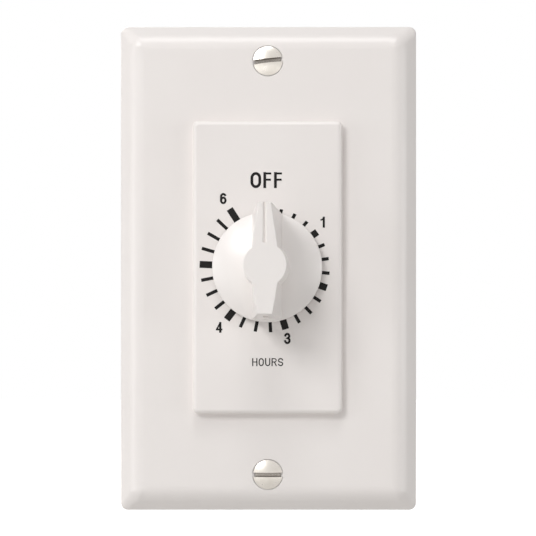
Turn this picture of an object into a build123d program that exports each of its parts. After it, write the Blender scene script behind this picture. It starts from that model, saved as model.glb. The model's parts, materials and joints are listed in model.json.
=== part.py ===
"""Spring-wound timer switch for a single wall box, with a pointer knob that turns from off to six hours.

X runs to the right as the room sees it, Y runs into the wall and Z runs up. The wall's surface is the plane
y = 0, and the origin lies on it, on the axis of the knob. All sizes are in millimetres.
"""

import os
from math import asin, atan2, cos, degrees, pi, radians, sin, sqrt

from build123d import *

# Fits and gaps
running_fit = 0.03
screw_fit = 0.06
slide_fit = 0.25
thin_gap = 0.15
shaft_gap = 0.5

# Opening for the dial, and the steps from its ends to the screws and to the plate's edge
opening_width = 33.3
opening_height = 66.7
opening_corner = 1.0
opening_rib = 1.2
box_screw_step = 8.32
plate_screw_step = 6.75
plate_end = 8.73
plate_side = 18.275

# Wall plate
plate_wall = 1.9
plate_corner = 1.6
plate_edge = 1.5
face_corner = 2.6
bevel_width = 3.8
bevel_round = 5.0
edge_round = 1.2
screw_boss_wall = 0.8
head_room = 0.6

# Screws that hold the wall plate
plate_screw_radius = 1.7
plate_screw_length = 12.0
plate_screw_head = 3.45
plate_screw_sink = 1.3
plate_screw_dome = 0.75
plate_screw_ring = 0.25
plate_screw_slot = 1.0
plate_screw_slot_depth = 1.1
plate_screw_turns = {1: 6.5, -1: 0.0}
screw_point = 0.8

# Dial plate
dial_lip = 0.75
dial_rise = 2.4
dial_corner = 1.3
dial_edge_round = 1.1
dial_wall = 1.6
skirt_wall = 1.3
snap_leg_width = 8.0
snap_barb = 0.7
snap_barb_length = 1.6

# Mounting yoke
yoke_thick = 1.2
yoke_body_height = 78.0
yoke_head_width = 33.0
yoke_end = 4.8
yoke_corner = 3.0
ear_notch = 1.6
ear_offset = 10.5
ear_hole_step = 9.0
box_slot_width = 4.0
box_slot_length = 6.6
tab_width = 5.6
tab_length = 9.5

# Screws into the wall box
box_screw_radius = 1.7
box_screw_neck = 1.4
box_screw_length = 30.0
box_screw_head = 3.3
box_screw_head_height = 1.9
box_screw_slot = 0.9
retainer_size = 8.6
retainer_thick = 0.4

# Earth screw
earth_screw_radius = 1.9
earth_screw_head = 2.5
earth_screw_head_height = 1.9
earth_screw_length = 6.0

# Case
case_wall = 1.9
case_corner = 3.0
case_round = 0.9

# Movement frame
frame_thick = 1.4
frame_margin = 0.4
frame_corner = 2.5
train_clear = 0.8
pillar_radius = 2.1
pillar_inset = 2.8
pillar_screw_radius = 1.25
pillar_screw_bite = 4.0
pillar_screw_slot = 0.6
front_screw_head = 2.3
front_screw_head_height = 1.1
rear_screw_head = 2.7
rear_screw_head_height = 1.9
insulator_thick = 0.4

# Winding arbor and clutch
shaft_radius = 3.17
shaft_flat_height = 2.3
bush_wall = 1.6
bush_flange = 1.5
bush_flange_thick = 0.8
spring_barrel_radius = 3.7
rear_shaft_radius = 2.4
rear_flat_height = 1.8
rear_shaft_past_cam = 1.2
clutch_collar_radius = 6.5
clutch_collar_thick = 1.0
clutch_washer_radius = 4.6
clutch_washer_thick = 0.3
clutch_washer_rise = 0.5
clutch_ring_radius = 3.9
clutch_ring_thick = 0.6
clutch_groove = 0.3

# Knob
knob_radius = 12.75
knob_rim = 1.5
knob_dome = 3.7
knob_height = 16.4
knob_gap = 0.5
knob_wall = 1.5
knob_top_wall = 3.4
knob_cap_radius = 4.9
knob_cap_draft = 0.5
knob_edge_round = 0.25
knob_rim_round = 0.5
pointer_reach = 14.05
pointer_tip_width = 2.8
grip_width = 5.8
grip_foot_width = 7.0
grip_foot_inset = 0.55
tail_reach = 11.0
tail_tip_width = 3.4
gate_mark_width = 1.2
gate_mark_height = 0.5
gate_mark_drop = 0.3
gate_mark_depth = 9.0
groove_width = 1.0
groove_depth = 0.55
groove_length = 9.1
hub_wall = 2.0
clip_thick = 0.3
clip_width = 3.6
clip_length = 8.0

# Gear train, from the main wheel to the fourth wheel
pinion_leaves = 8
train_teeth = (64, 60, 60, 56)
main_module = 0.375
second_module = 0.33
third_module = 0.28
fourth_module = 0.25
train_directions = (240.0, -18.0, 30.0, 80.0)
main_wheel_thick = 1.4
train_wheel_thick = 0.8
pinion_overhang = 0.7
layer_gap = 0.7
train_arbor_radius = 0.75
pivot_radius = 0.45

# Tooth forms: half the thickness in modules, then the height over the pitch circle in modules and the share
# of the thickness at each corner of a flank, from root to tip
wheel_tooth_half = 0.74
wheel_tooth = ((-1.1, 1.0), (0.0, 1.0), (1.2, 0.25))
pinion_leaf_half = 0.52
pinion_leaf = ((-1.5, 1.0), (0.0, 1.0), (0.6, 0.5))

# Mainspring
spring_thick = 0.35
spring_width = 5.0
spring_gap = 1.2
spring_turns = 5
spring_pitch = 1.45
spring_steps = 20
spring_end_direction = 165.0
spring_post_radius = 0.9

# Escape wheel and pallet lever
escape_teeth = 12
escape_radius = 5.5
escape_tooth_depth = 1.5
escape_tip_width = 0.24
escape_root_width = 1.3
pallet_span = 2.5
pallet_pin_radius = 0.2
pallet_clear = 0.08
lever_direction = 90.0
lever_thick = 0.8
lever_width = 1.3
lever_hub_radius = 1.3
fork_clear = 0.1
fork_depth = 1.5
fork_prong = 0.55

# Balance
balance_distance = 9.5
balance_direction = 115.0
balance_radius = 7.5
balance_rim = 1.2
balance_thick = 1.4
balance_spoke = 1.3
balance_hub_radius = 1.6
impulse_radius = 2.2
impulse_pin_radius = 0.25
roller_margin = 0.7
roller_thick = 0.9
roller_gap = 0.3
hair_thick = 0.12
hair_width = 0.5
hair_turns = 4
hair_pitch = 0.6
hair_steps = 16
hair_gap = 0.9
hair_stud_radius = 0.45

# Switch
cam_radius = 6.5
cam_lobe = 1.5
cam_thick = 4.0
cam_gap = 1.6
cam_lobe_half = 7.0
cam_ramp = 12.0
arm_pivot_drop = 16.5
arm_thick = 1.0
arm_side = 0.2
arm_eye_wall = 0.9
arm_past_contact = 2.6
arm_post_radius = 1.2
follower_width = 3.0
follower_reach = 3.85
contact_height = 13.5
contact_radius = 1.8
contact_thick = 1.2
strip_thick = 1.2
strip_width = 7.0
strip_gap = 1.1
post_boss_height = 2.75
terminal_width = 9.0
terminal_screw_radius = 1.8
terminal_screw_head = 3.6
terminal_screw_head_height = 2.0
terminal_screw_length = 5.6
terminal_screw_slot = 1.0
bow_thick = 0.3
bow_half_height = 6.0
bow_middle = 2.5


def polar(radius, angle, centre=(0.0, 0.0)):
    """The point at a distance and an angle, in radians, from a centre in the plane that the room sees."""
    return centre[0] + radius * cos(angle), centre[1] + radius * sin(angle)


def away(start, distance, direction):
    """The point at a distance from another, in a direction given in degrees."""
    return polar(distance, radians(direction), start)


# Heights of the screws, and the plate and yoke around them
box_screw_spacing = opening_height + 2 * box_screw_step
plate_screw_spacing = box_screw_spacing + 2 * plate_screw_step
plate_height = plate_screw_spacing + 2 * plate_end
plate_width = opening_width + 2 * plate_side
plate_depth = yoke_thick + box_screw_head_height + head_room + plate_wall
yoke_length = plate_screw_spacing + 2 * yoke_end
skirt_width = opening_width - 2 * slide_fit
skirt_height = opening_height - 2 * slide_fit

# Axes of the train: each next arbor stands where its pinion meets the wheel before it
train_modules = (main_module, second_module, third_module, fourth_module)
train_axes = [(0.0, 0.0)]
for wheel_teeth, module, direction in zip(train_teeth, train_modules, train_directions):
    train_axes.append(away(train_axes[-1], (wheel_teeth + pinion_leaves) * module / 2, direction))
escape_axis = train_axes[-1]
pallet_half_angle = pi * pallet_span / escape_teeth
lever_axis = away(escape_axis, escape_radius / cos(pallet_half_angle), lever_direction)
balance_axis = away(lever_axis, balance_distance, balance_direction)
fork_reach = balance_distance - impulse_radius

# Each wheel's axis and outer radius, which the case and the pillars clear
tip_height = wheel_tooth[-1][0]
tip_radii = [(teeth / 2 + tip_height) * module for teeth, module in zip(train_teeth, train_modules)]
wheel_circles = list(zip(train_axes, [*tip_radii, escape_radius])) + [(balance_axis, balance_radius)]
pillar_x = skirt_width / 2 - skirt_wall - front_screw_head - slide_fit
wheels_need_z = max(
    abs(z) + sqrt(max(0.0, (radius + pillar_radius + train_clear) ** 2 - (pillar_x - abs(x)) ** 2))
    for (x, z), radius in wheel_circles
)

# The pillars also leave room for a terminal's leg between their screws and the eye of the contact arm
arm_eye_radius = arm_post_radius + running_fit + arm_eye_wall
screw_side_gap = rear_screw_head + screw_fit + slide_fit
leg_needs_z = arm_pivot_drop + arm_eye_radius + thin_gap + strip_thick + screw_side_gap
pillar_z = max(wheels_need_z, leg_needs_z)
pillar_places = [(x, z) for x in (-pillar_x, pillar_x) for z in (-pillar_z, pillar_z)]
frame_width = 2 * (max(abs(x) + radius for (x, z), radius in wheel_circles) + train_clear)
frame_height = 2 * (pillar_z + pillar_inset)
case_width = frame_width + 2 * (frame_margin + case_wall)
case_height = frame_height + 2 * (frame_margin + case_wall)

bush_radius = shaft_radius + running_fit + bush_wall

# Depths, from the room to the back
face_y = -plate_depth
shell_y = face_y + plate_wall
dial_y = face_y - dial_rise
knob_y = dial_y - knob_gap
knob_top_y = knob_y - knob_height
shaft_end_y = knob_top_y + knob_top_wall
yoke_y = -yoke_thick
spring_front = frame_thick + spring_gap
collar_front = spring_front + spring_width + layer_gap
main_wheel_front = collar_front + clutch_collar_thick
washer_front = main_wheel_front + main_wheel_thick
ring_front = washer_front + clutch_washer_rise + clutch_washer_thick
second_wheel_front = ring_front + clutch_ring_thick + layer_gap
third_wheel_front = second_wheel_front + train_wheel_thick + pinion_overhang + layer_gap
wheel_fronts = (main_wheel_front, second_wheel_front, third_wheel_front, second_wheel_front)
wheel_thicks = (main_wheel_thick, train_wheel_thick, train_wheel_thick, train_wheel_thick)
escape_wheel_front = third_wheel_front
lever_front = escape_wheel_front + train_wheel_thick + layer_gap
lever_back = lever_front + lever_thick
roller_back = lever_front - roller_gap
hair_front = lever_back + hair_gap
rear_plate_y = hair_front + hair_width + spring_gap
insulator_y = rear_plate_y + frame_thick
switch_y = insulator_y + insulator_thick
cam_y = switch_y + cam_gap
strip_y = switch_y + strip_gap
strip_back = strip_y + strip_width
lug_back = strip_back + strip_thick
floor_y = lug_back + thin_gap + post_boss_height
case_end_y = floor_y + case_wall
switch_middle_y = cam_y + cam_thick / 2
terminal_screw_y = strip_y + strip_width / 2

# Places in the switch
follower_distance = cam_radius + cam_lobe + thin_gap
arm_x = -follower_distance - follower_reach
arm_pivot = (arm_x, -arm_pivot_drop)
arm_face_x = arm_x + arm_thick / 2
arm_swing = asin(cam_lobe / arm_pivot_drop)
arm_front = switch_middle_y - cam_thick / 2 - arm_side
arm_back = switch_middle_y + cam_thick / 2 + arm_side
contact_travel = (arm_pivot_drop + contact_height + contact_radius) * sin(arm_swing)
fixed_contact_x = arm_face_x + contact_thick + contact_travel + thin_gap
case_left_x = -case_width / 2
terminal_outer = pillar_z - screw_side_gap
terminal_inner = terminal_outer - terminal_width
terminal_screw_z = (terminal_inner + terminal_outer - strip_thick) / 2
spring_post_reach = spring_barrel_radius + running_fit + spring_pitch * spring_turns + spring_thick
spring_post_place = away((0.0, 0.0), spring_post_reach + spring_post_radius, spring_end_direction)
hair_stud_reach = train_arbor_radius + running_fit + hair_pitch * hair_turns + hair_thick
hair_stud_place = away(balance_axis, hair_stud_reach + hair_stud_radius, balance_direction)
impulse_place = away(lever_axis, fork_reach, balance_direction)
tab_middle_z = -(case_height / 2 + slide_fit + tab_width / 2)


def front_plane(y):
    """The upright plane at a depth y, seen from the room: its first axis is X and its second is Z."""
    return Plane(origin=(0, y, 0), x_dir=(1, 0, 0), z_dir=(0, -1, 0))


def slab(shape, front, back):
    """A flat shape seen from the room, made solid from the depth front to the depth back."""
    return extrude(front_plane(back) * shape, amount=back - front)


def disc(place, radius):
    """A flat disc at a place."""
    return Pos(*place) * Circle(radius)


def box(width, height, place=(0.0, 0.0)):
    """A flat rectangle with its centre at a place."""
    return Pos(*place) * Rectangle(width, height)


def rod(place, radius, front, back):
    """A round bar along Y."""
    return slab(disc(place, radius), front, back)


def taper(place, front_radius, back_radius, front, back):
    """A cone along Y."""
    form = Cone(back_radius, front_radius, back - front, align=(Align.CENTER, Align.CENTER, Align.MIN))
    return front_plane(back) * Pos(*place) * form


def dome(radius, rise, y):
    """A shallow round dome towards the room, on the plane at the depth y."""
    sphere_radius = (radius**2 + rise**2) / (2 * rise)
    half_way = y - rise + sphere_radius - sqrt(sphere_radius**2 - (radius / 2) ** 2)
    edges = [
        Polyline((radius, y), (0, y), (0, y - rise)),
        ThreePointArc((0, y - rise), (radius / 2, half_way), (radius, y)),
    ]
    return revolve(make_face(edges), Axis.Y)


def turned(points):
    """A piece turned about Y, from the corners (radius, y) of its half section."""
    return revolve(make_face(Polyline(*points, close=True)), Axis.Y)


def outline(points):
    """The flat shape inside a closed line of points."""
    return make_face(Polyline(*points, close=True))


def strip(start, end, width):
    """A flat bar with square ends between two points."""
    side = atan2(end[1] - start[1], end[0] - start[0]) + pi / 2
    near = [polar(reach, side, start) for reach in (width / 2, -width / 2)]
    far = [polar(reach, side, end) for reach in (-width / 2, width / 2)]
    return outline(near + far)


def flat_round(radius, flat):
    """A disc with a flat on its upper side."""
    return Circle(radius) - box(4 * radius, 2 * radius, (0, flat + radius))


def toothed(teeth, module, profile, half_width, first_angle, centre):
    """The outline of a wheel or a pinion, with the middle of a tooth at the first angle."""
    pitch_radius = teeth * module / 2
    half_angle = half_width * module / pitch_radius
    points = []
    for number in range(teeth):
        middle = first_angle + 2 * pi * number / teeth
        for height, share in profile:
            points.append(polar(pitch_radius + height * module, middle - share * half_angle, centre))
        for height, share in reversed(profile):
            points.append(polar(pitch_radius + height * module, middle + share * half_angle, centre))
    return outline(points)


def spiral(first_radius, pitch, turns, steps, thick, direction, centre):
    """The outline of a flat spiral strip that runs outwards anticlockwise from its inner end."""
    inside = []
    outside = []
    for number in range(turns * steps + 1):
        angle = radians(direction) + 2 * pi * number / steps
        radius = first_radius + pitch * number / steps
        inside.append(polar(radius, angle, centre))
        outside.append(polar(radius + thick, angle, centre))
    return outline(inside + outside[::-1])


def slotted_screw(radius, length, head, head_height, slot):
    """A cheese-head screw along its own Z, with the head on the outer side of its XY plane."""
    form = Cylinder(head, head_height, align=(Align.CENTER, Align.CENTER, Align.MIN))
    form -= Pos(0, 0, head_height) * Box(3 * head, slot, head_height)
    return form + Cylinder(radius, length, align=(Align.CENTER, Align.CENTER, Align.MAX))


def plate_form(width, height, depth, corner):
    """The outer form of the wall plate: an upright edge and then a slope up to the flat face."""
    rim = RectangleRounded(width, height, corner)
    face = RectangleRounded(width - 2 * bevel_width, height - 2 * bevel_width, face_corner)
    return slab(rim, -plate_edge, 0) + loft([front_plane(-plate_edge) * rim, front_plane(-depth) * face])


def wall_plate():
    """A moulded shell with a rounded bevel, the opening for the dial and two countersunk holes."""
    form = plate_form(plate_width, plate_height, plate_depth, plate_corner)
    form = fillet(form.edges().group_by(Axis.Y)[0], bevel_round)
    form = fillet([edge for edge in form.edges() if abs(edge.center().Y + plate_edge) < thin_gap], edge_round)
    inside = (plate_width - 2 * plate_wall, plate_height - 2 * plate_wall, -shell_y, plate_corner / 2)
    form -= plate_form(*inside)
    rib_size = (opening_width + 2 * opening_rib, opening_height + 2 * opening_rib)
    form += slab(RectangleRounded(*rib_size, opening_corner + opening_rib), shell_y, yoke_y)
    form -= slab(RectangleRounded(opening_width, opening_height, opening_corner), face_y, 0)
    hole = plate_screw_radius + slide_fit
    sink_y = face_y + plate_screw_sink + thin_gap
    for side in (-1, 1):
        place = (0, side * plate_screw_spacing / 2)
        form += rod(place, hole + screw_boss_wall, shell_y, yoke_y - thin_gap)
        form -= rod(place, hole, face_y, 0)
        form -= taper(place, plate_screw_head + plate_screw_ring, hole, face_y, sink_y)
    return form


def plate_screws():
    """Two oval-head screws that pull the wall plate against the yoke."""
    made = []
    back = face_y + plate_screw_length
    seat = face_y + plate_screw_sink
    slot_y = face_y - plate_screw_dome
    for side, turn in plate_screw_turns.items():
        form = dome(plate_screw_head, plate_screw_dome, face_y)
        form += turned(
            [
                (0, face_y),
                (plate_screw_head, face_y),
                (plate_screw_radius, seat),
                (plate_screw_radius, back - screw_point),
                (plate_screw_radius - screw_point, back),
                (0, back),
            ]
        )
        slot = Rot(0, 0, turn) * box(3 * plate_screw_head, plate_screw_slot)
        form -= slab(slot, slot_y, slot_y + plate_screw_slot_depth)
        made.append(Pos(0, 0, side * plate_screw_spacing / 2) * form)
    return made


def dial_plate():
    """The raised plate with the dial. Its skirt fills the opening, and two legs snap into the yoke."""
    flange = RectangleRounded(opening_width + 2 * dial_lip, opening_height + 2 * dial_lip, dial_corner)
    form = slab(flange, dial_y, face_y)
    form = fillet(form.edges().group_by(Axis.Y)[0], dial_edge_round)
    form += slab(RectangleRounded(skirt_width, skirt_height, opening_corner), face_y, yoke_y)
    hollow = box(skirt_width - 2 * skirt_wall, skirt_height - 2 * skirt_wall)
    form -= slab(hollow, dial_y + dial_wall, yoke_y)
    form -= rod((0, 0), shaft_radius + shaft_gap, dial_y, yoke_y)
    leg_end = slide_fit + snap_barb_length
    edge_z = skirt_height / 2
    for side in (-1, 1):
        leg = box(snap_leg_width, skirt_wall, (0, side * (edge_z - skirt_wall / 2)))
        form += slab(leg, yoke_y, leg_end)
        barb = [(slide_fit, edge_z), (slide_fit, edge_z + snap_barb), (leg_end, edge_z)]
        section = Plane.YZ * Polyline(*[(y, side * z) for y, z in barb], close=True)
        form += extrude(make_face(section), amount=snap_leg_width / 2, both=True)
    return form


def yoke():
    """The steel strap that screws to the wall box and carries everything else."""
    form = RectangleRounded(case_width, yoke_body_height, yoke_corner)
    head_height = (yoke_length - yoke_body_height) / 2 + 2 * yoke_corner
    for side in (-1, 1):
        end_z = side * yoke_length / 2
        head = RectangleRounded(yoke_head_width, head_height, yoke_corner)
        form += Pos(0, end_z - side * head_height / 2) * head
        for ear_x in (-ear_offset, ear_offset):
            form -= disc((ear_x, end_z), ear_notch)
            form -= disc((ear_x, end_z - side * ear_hole_step), ear_notch)
        form -= Pos(0, side * box_screw_spacing / 2) * SlotOverall(box_slot_length, box_slot_width)
        form -= disc((0, side * plate_screw_spacing / 2), plate_screw_radius + screw_fit)
        leg_z = side * (skirt_height - skirt_wall) / 2
        form -= box(snap_leg_width + 2 * slide_fit, skirt_wall + 2 * slide_fit, (0, leg_z))
    for place in pillar_places:
        form -= disc(place, pillar_screw_radius + screw_fit)
    form -= disc((0, 0), bush_radius)
    strap = slab(form, yoke_y, 0)
    corner = (Align.MAX, Align.MIN, Align.CENTER)
    tab = Pos(case_width / 2, yoke_y, tab_middle_z) * Box(yoke_thick, tab_length, tab_width, align=corner)
    hole = earth_screw_plane() * Cylinder(earth_screw_radius + screw_fit, 4 * yoke_thick)
    return strap + tab - hole


def box_screws():
    """Two long screws, held captive in the yoke by their necks, that reach into the wall box."""
    made = []
    back = yoke_y + box_screw_length
    for side in (-1, 1):
        form = turned(
            [
                (0, yoke_y),
                (box_screw_neck, yoke_y),
                (box_screw_neck, retainer_thick),
                (box_screw_radius, retainer_thick),
                (box_screw_radius, back - screw_point),
                (box_screw_radius - screw_point, back),
                (0, back),
            ]
        )
        head_y = yoke_y - box_screw_head_height
        head = rod((0, 0), box_screw_head, head_y, yoke_y)
        head = fillet(head.edges().group_by(Axis.Y)[0], box_screw_head_height / 2)
        slot = box(3 * box_screw_head, box_screw_slot)
        form += head - slab(slot, head_y, head_y + box_screw_head_height / 2)
        made.append(Pos(0, 0, side * box_screw_spacing / 2) * form)
    return made


def screw_retainers():
    """Two fibre squares behind the yoke that keep the box screws from dropping out."""
    form = RectangleRounded(retainer_size, retainer_size, yoke_corner / 3)
    form -= Circle(box_screw_neck + screw_fit)
    return [slab(Pos(0, side * box_screw_spacing / 2) * form, 0, retainer_thick) for side in (-1, 1)]


def earth_screw_plane():
    """The outer face of the yoke's tab, with its normal to the right."""
    return Plane(origin=(case_width / 2, tab_length / 2, tab_middle_z), x_dir=(0, 1, 0), z_dir=(1, 0, 0))


def earth_screw():
    """A hexagon-head screw in the tab of the yoke, along X."""
    form = extrude(RegularPolygon(earth_screw_head, 6), amount=earth_screw_head_height)
    slot = Box(3 * earth_screw_head, box_screw_slot, earth_screw_head_height)
    form -= Pos(0, 0, earth_screw_head_height) * slot
    form += Cylinder(earth_screw_radius, earth_screw_length, align=(Align.CENTER, Align.CENTER, Align.MAX))
    return earth_screw_plane() * form


def front_bush():
    """A flanged brass bearing for the winding arbor, pressed through the yoke and the front plate."""
    bore = shaft_radius + running_fit
    flange_front = yoke_y - bush_flange_thick
    flange_radius = bush_radius + bush_flange
    return turned(
        [
            (bore, flange_front),
            (flange_radius, flange_front),
            (flange_radius, yoke_y),
            (bush_radius, yoke_y),
            (bush_radius, frame_thick),
            (bore, frame_thick),
        ]
    )


def frame_plate(front, centre_hole, extra_place, extra_hole):
    """One of the two steel plates that the train turns between."""
    form = RectangleRounded(frame_width, frame_height, frame_corner) - Circle(centre_hole)
    for place in pillar_places:
        form -= disc(place, pillar_screw_radius + screw_fit)
    for place in [*train_axes[1:], lever_axis, balance_axis]:
        form -= disc(place, pivot_radius + running_fit)
    form -= disc(extra_place, extra_hole)
    return slab(form, front, front + frame_thick)


def front_plate():
    """The plate behind the yoke, with a hole for the post of the mainspring."""
    return frame_plate(0, bush_radius, spring_post_place, spring_post_radius)


def rear_plate():
    """The plate behind the train, with a hole for the stud of the balance spring."""
    return frame_plate(rear_plate_y, rear_shaft_radius + running_fit, hair_stud_place, hair_stud_radius)


def pillars():
    """Four posts, tapped at both ends, that space the two plates."""
    made = []
    hole = pillar_screw_radius + screw_fit
    hole_depth = pillar_screw_bite + thin_gap
    for place in pillar_places:
        form = rod(place, pillar_radius, frame_thick, rear_plate_y)
        form -= rod(place, hole, frame_thick, frame_thick + hole_depth)
        form -= rod(place, hole, rear_plate_y - hole_depth, rear_plate_y)
        made.append(form)
    return made


def front_screws():
    """Four screws through the yoke and the front plate into the pillars."""
    length = yoke_thick + frame_thick + pillar_screw_bite
    sizes = (pillar_screw_radius, length, front_screw_head, front_screw_head_height, pillar_screw_slot)
    return [front_plane(yoke_y) * Pos(*place) * slotted_screw(*sizes) for place in pillar_places]


def rear_screws():
    """Four long screws through the switch housing and the rear plate into the pillars."""
    length = case_end_y - rear_plate_y + pillar_screw_bite
    sizes = (pillar_screw_radius, length, rear_screw_head, rear_screw_head_height, pillar_screw_slot)
    back = Plane(origin=(0, case_end_y, 0), x_dir=(1, 0, 0), z_dir=(0, 1, 0))
    return [back * Pos(x, -z) * slotted_screw(*sizes) for x, z in pillar_places]


def case_inside():
    """The inside of the case, seen from the room."""
    size = (case_width - 2 * case_wall, case_height - 2 * case_wall)
    return RectangleRounded(*size, case_corner - case_wall / 2)


def movement_cover():
    """A moulded sleeve that keeps dust out of the movement."""
    return slab(RectangleRounded(case_width, case_height, case_corner) - case_inside(), 0, switch_y)


def insulator():
    """A fibre sheet between the movement's rear plate and the live parts of the switch."""
    form = RectangleRounded(frame_width, frame_height, frame_corner) - Circle(rear_shaft_radius + shaft_gap)
    for place in pillar_places:
        form -= disc(place, pillar_screw_radius + screw_fit)
    return slab(form, insulator_y, switch_y)


def terminal_hole(side):
    """The round cut for a terminal's screw, through the case's left wall."""
    return terminal_screw_plane(side) * Cylinder(terminal_screw_radius + screw_fit, 4 * case_wall)


def terminal_screw_plane(side):
    """The outer face of the case's left side at a terminal's screw, with its normal to the left."""
    place = (case_left_x, terminal_screw_y, side * terminal_screw_z)
    return Plane(origin=place, x_dir=(0, 0, 1), z_dir=(-1, 0, 0))


def switch_housing():
    """A moulded cup that holds the switch, with a pocket and a slot in its side for each terminal."""
    form = slab(RectangleRounded(case_width, case_height, case_corner), switch_y, case_end_y)
    form = fillet(form.edges().group_by(Axis.Y)[-1], case_round)
    form -= slab(case_inside(), switch_y, floor_y)
    boss = rear_screw_head + screw_fit
    for x, z in pillar_places:
        wall_z = (case_height / 2 - case_wall / 2) * (1 if z > 0 else -1)
        form += rod((x, z), boss, switch_y, floor_y)
        form += slab(box(2 * boss, abs(wall_z - z), (x, (z + wall_z) / 2)), switch_y, floor_y)
        form -= rod((x, z), pillar_screw_radius + slide_fit, switch_y, case_end_y)
    form += rod(arm_pivot, arm_eye_radius, lug_back + thin_gap, floor_y)
    form -= rod(arm_pivot, arm_post_radius, lug_back, floor_y + case_wall / 2)
    pocket_back = strip_back + thin_gap
    for side in (-1, 1):
        middle = side * (terminal_inner + terminal_outer) / 2
        pocket = box(2 * (strip_thick + thin_gap), terminal_width + 2 * thin_gap, (case_left_x, middle))
        form -= slab(pocket, switch_y, pocket_back)
        leg_place = (case_left_x, side * (terminal_outer - strip_thick / 2))
        slot = box(4 * case_wall, strip_thick + 2 * thin_gap, leg_place)
        form -= slab(slot, switch_y, pocket_back)
        form -= terminal_hole(side)
    return form


def terminal(side, inner_x):
    """A terminal's plate under its screw, with a leg through the case's wall to inner_x."""
    plate_place = (case_left_x + strip_thick / 2, (terminal_inner + terminal_outer) / 2)
    plate = box(strip_thick, terminal_width, plate_place)
    leg_z = terminal_outer - strip_thick / 2
    leg = box(inner_x - case_left_x, strip_thick, ((inner_x + case_left_x) / 2, leg_z))
    form = slab(plate + leg, strip_y, strip_back)
    if side < 0:
        form = mirror(form, about=Plane.XY)
    return form - terminal_hole(side)


def line_terminal():
    """The lower terminal, which ends in a lug around the contact arm's post."""
    half = arm_eye_radius
    form = terminal(-1, arm_pivot[0] + half)
    low = -terminal_outer
    high = arm_pivot[1] + half
    lug = box(2 * half, high - low, (arm_pivot[0], (low + high) / 2)) - disc(arm_pivot, arm_post_radius)
    return form + slab(lug, strip_back, lug_back)


def load_terminal():
    """The upper terminal, which runs down inside the case to the fixed contact."""
    near_x = fixed_contact_x + contact_thick
    low = contact_height - contact_radius - strip_thick
    down = box(strip_thick, terminal_outer - low, (near_x + strip_thick / 2, (low + terminal_outer) / 2))
    return terminal(1, near_x + strip_thick) + slab(down, strip_y, strip_back)


def contact_button(left_x):
    """A round contact with its left face at left_x."""
    button = Cylinder(contact_radius, contact_thick, align=(Align.CENTER, Align.CENTER, Align.MIN))
    return Plane(origin=(left_x, switch_middle_y, contact_height), z_dir=(1, 0, 0)) * button


def contact_arm():
    """The bronze arm that swings on its post. The cam's lobe holds it open while the knob is at off."""
    top = (arm_x, contact_height + arm_past_contact)
    eye_front = switch_y + thin_gap
    eye_back = strip_back - thin_gap
    form = slab(strip(arm_pivot, top, arm_thick), arm_front, arm_back)
    form += rod(arm_pivot, arm_eye_radius, eye_front, eye_back)
    return form - rod(arm_pivot, arm_post_radius + running_fit, eye_front, eye_back)


def cam_follower():
    """The nylon nub on the contact arm that rides on the cam."""
    round_x = -follower_distance - follower_width / 2
    nub = box(round_x - arm_face_x, follower_width, ((round_x + arm_face_x) / 2, 0))
    return slab(nub + disc((round_x, 0), follower_width / 2), arm_front, arm_back)


def arm_post():
    """The brass post that the contact arm swings on. It stands in the lug and in the housing's floor."""
    return rod(arm_pivot, arm_post_radius, switch_y + thin_gap, floor_y + case_wall / 2)


def arm_bow_spring():
    """A bowed leaf between the case's wall and the contact arm that closes the contacts."""
    wall_x = case_left_x + case_wall + thin_gap
    crown_x = arm_x - arm_thick / 2 - thin_gap
    low = bow_middle - bow_half_height
    high = bow_middle + bow_half_height
    outer = ThreePointArc((wall_x, low), (crown_x, bow_middle), (wall_x, high))
    inner = ThreePointArc(
        (wall_x, high - bow_thick), (crown_x - bow_thick, bow_middle), (wall_x, low + bow_thick)
    )
    bow = make_face([outer, Line(outer @ 1, inner @ 0), inner, Line(inner @ 1, outer @ 0)])
    return slab(bow, arm_front, arm_back)


def terminal_screws():
    """Two binding-head screws along X, one on each terminal."""
    sizes = (terminal_screw_radius, terminal_screw_length, terminal_screw_head)
    heads = (terminal_screw_head_height, terminal_screw_slot)
    return [terminal_screw_plane(side) * slotted_screw(*sizes, *heads) for side in (-1, 1)]


def switch_cam():
    """The cam on the winding arbor. Its one lobe faces the contact arm while the knob is at off."""
    lobe_radius = cam_radius + cam_lobe
    ramp_end = radians(cam_lobe_half + cam_ramp)
    lobe_end = radians(cam_lobe_half)
    points = [polar(cam_radius, pi - ramp_end), polar(lobe_radius, pi - lobe_end)]
    points += [polar(lobe_radius, pi + lobe_end), polar(cam_radius, pi + ramp_end)]
    form = Circle(cam_radius) + outline([*points, (0, 0)])
    form -= flat_round(rear_shaft_radius + screw_fit, rear_flat_height + screw_fit)
    return slab(form, cam_y, cam_y + cam_thick)


def arbor():
    """The winding arbor, from the knob's hub through the movement to the cam."""
    barrel_front = frame_thick + thin_gap
    ring_back = ring_front + clutch_ring_thick
    form = slab(flat_round(shaft_radius, shaft_flat_height), shaft_end_y, dial_y)
    form += rod((0, 0), shaft_radius, dial_y, barrel_front)
    form += rod((0, 0), spring_barrel_radius, barrel_front, collar_front)
    form += rod((0, 0), clutch_collar_radius, collar_front, main_wheel_front)
    form += rod((0, 0), rear_shaft_radius, main_wheel_front, insulator_y)
    rear_end = cam_y + cam_thick + rear_shaft_past_cam
    form += slab(flat_round(rear_shaft_radius, rear_flat_height), insulator_y, rear_end)
    groove = Circle(rear_shaft_radius) - Circle(rear_shaft_radius - clutch_groove)
    return form - slab(groove, ring_front, ring_back)


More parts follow.
